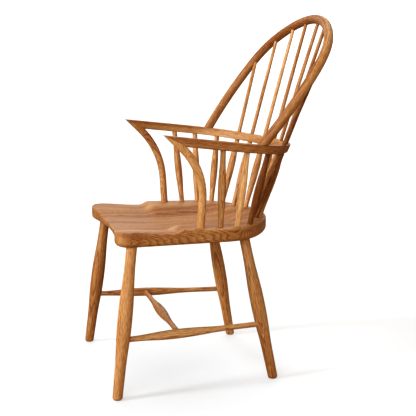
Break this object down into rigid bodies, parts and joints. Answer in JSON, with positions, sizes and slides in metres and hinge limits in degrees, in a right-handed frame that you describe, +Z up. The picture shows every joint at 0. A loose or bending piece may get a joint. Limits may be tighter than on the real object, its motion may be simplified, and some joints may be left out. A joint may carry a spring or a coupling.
{
  "type": "windsor chair",
  "caption": "Wooden armchair with a dished solid seat, turned legs and stretchers, a bent arm bow and a bent back bow filled with turned spindles.",
  "frame": {"origin": "on the floor, in the middle of the chair's outer box", "axes": "+Z up, the sitter faces -Y, and the sitter's left is +X"},
  "size_m": [0.6267, 0.6901, 1.053],
  "materials": {
    "seat_oak": "oiled, satin",
    "bent_oak": "oiled, satin",
    "turned_oak": "oiled, satin"
  },
  "bodies": {
    "root": {"arm_bow": "bent_oak", "back_bow": "bent_oak", "cross_stretcher": "turned_oak", "front_left_leg": "turned_oak", "front_right_leg": "turned_oak", "left_arm_post": "bent_oak", "left_back_short_spindle": "turned_oak", "left_front_short_spindle": "turned_oak", "left_middle_seat_board": "seat_oak", "left_middle_short_spindle": "turned_oak", "left_outer_seat_board": "seat_oak", "left_side_stretcher": "turned_oak", "long_spindle_1": "turned_oak", "long_spindle_2": "turned_oak", "long_spindle_3": "turned_oak", "long_spindle_4": "turned_oak", "long_spindle_5": "turned_oak", "long_spindle_6": "turned_oak", "long_spindle_7": "turned_oak", "long_spindle_8": "turned_oak", "rear_left_leg": "turned_oak", "rear_right_leg": "turned_oak", "right_arm_post": "bent_oak", "right_back_short_spindle": "turned_oak", "right_front_short_spindle": "turned_oak", "right_middle_seat_board": "seat_oak", "right_middle_short_spindle": "turned_oak", "right_outer_seat_board": "seat_oak", "right_side_stretcher": "turned_oak"}
  },
  "joints": []
}
